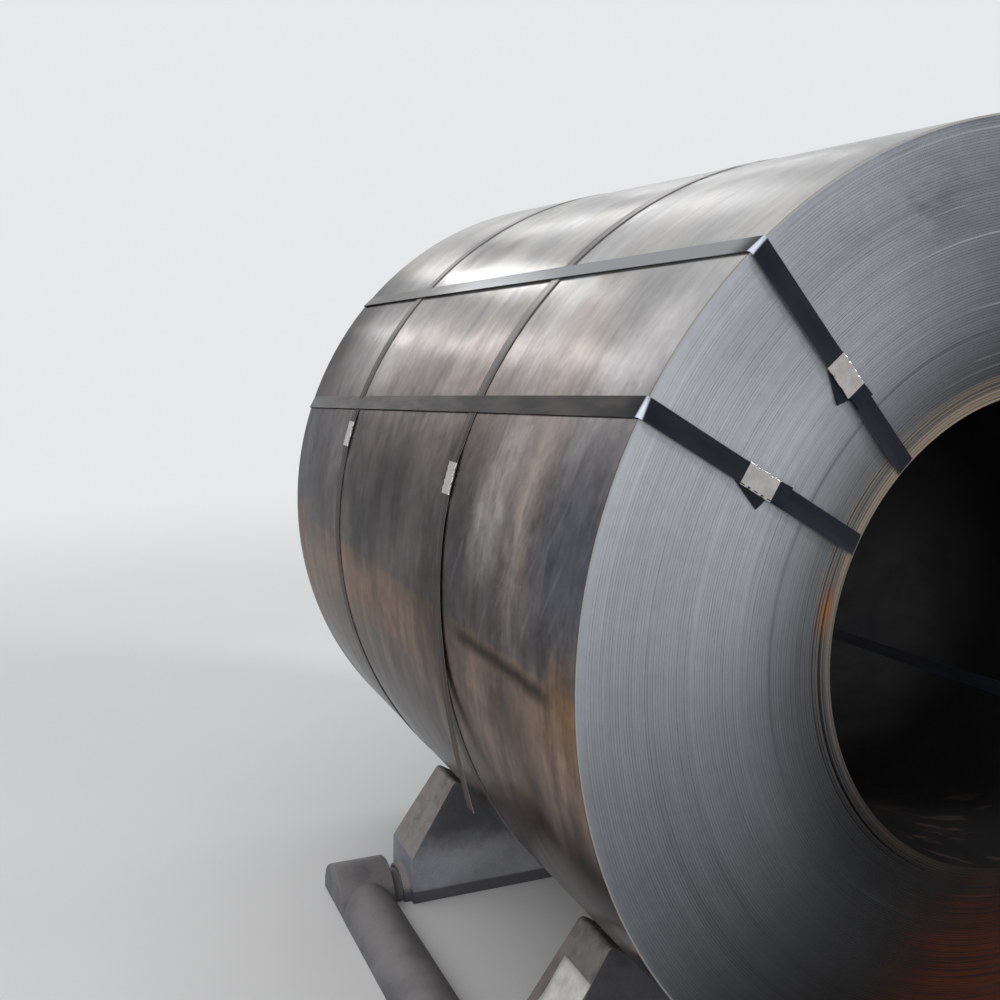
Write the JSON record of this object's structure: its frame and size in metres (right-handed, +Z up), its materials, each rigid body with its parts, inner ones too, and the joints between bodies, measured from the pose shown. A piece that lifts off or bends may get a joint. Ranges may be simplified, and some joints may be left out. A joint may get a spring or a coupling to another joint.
{
  "type": "steel coil",
  "caption": "Strapped coil of hot rolled steel strip lying eye horizontal on wedge blocks over the half round bars of a low floor rack.",
  "frame": {"origin": "on the floor under the middle of the coil, at the bottom centre of the whole object's box", "axes": "+Y runs along the coil's axis away from the end that carries the strap seals, +X is to the right seen from that end, +Z is up"},
  "size_m": [1.6666, 1.6846, 1.6542],
  "materials": {
    "hot_rolled_strip": "blue grey mill scale with a dull sheen, brown where it has rusted",
    "steel_strapping": "black waxed steel, satin",
    "galvanised_seal": "bright galvanised, dented by the crimping tool",
    "block_rubber": "matt moulded, dusty on its upper faces",
    "rack_paint": "grey paint dulled by dust"
  },
  "bodies": {
    "root": {"coil": "hot_rolled_strip", "eye_strap_upper": "steel_strapping", "eye_strap_lower": "steel_strapping", "eye_strap_right": "steel_strapping", "belly_strap_front": "steel_strapping", "belly_strap_rear": "steel_strapping", "eye_seal_upper": "galvanised_seal", "eye_seal_lower": "galvanised_seal", "eye_seal_right": "galvanised_seal", "belly_seal_front": "galvanised_seal", "belly_seal_rear": "galvanised_seal", "saddle_block_front_left": "block_rubber", "saddle_block_front_right": "block_rubber", "saddle_block_rear_left": "block_rubber", "saddle_block_rear_right": "block_rubber", "cross_bar_front": "rack_paint", "cross_bar_rear": "rack_paint", "side_rail_left": "rack_paint", "side_rail_right": "rack_paint", "rack_corner_front_left": "rack_paint", "rack_corner_front_right": "rack_paint", "rack_corner_rear_left": "rack_paint", "rack_corner_rear_right": "rack_paint"}
  },
  "joints": []
}
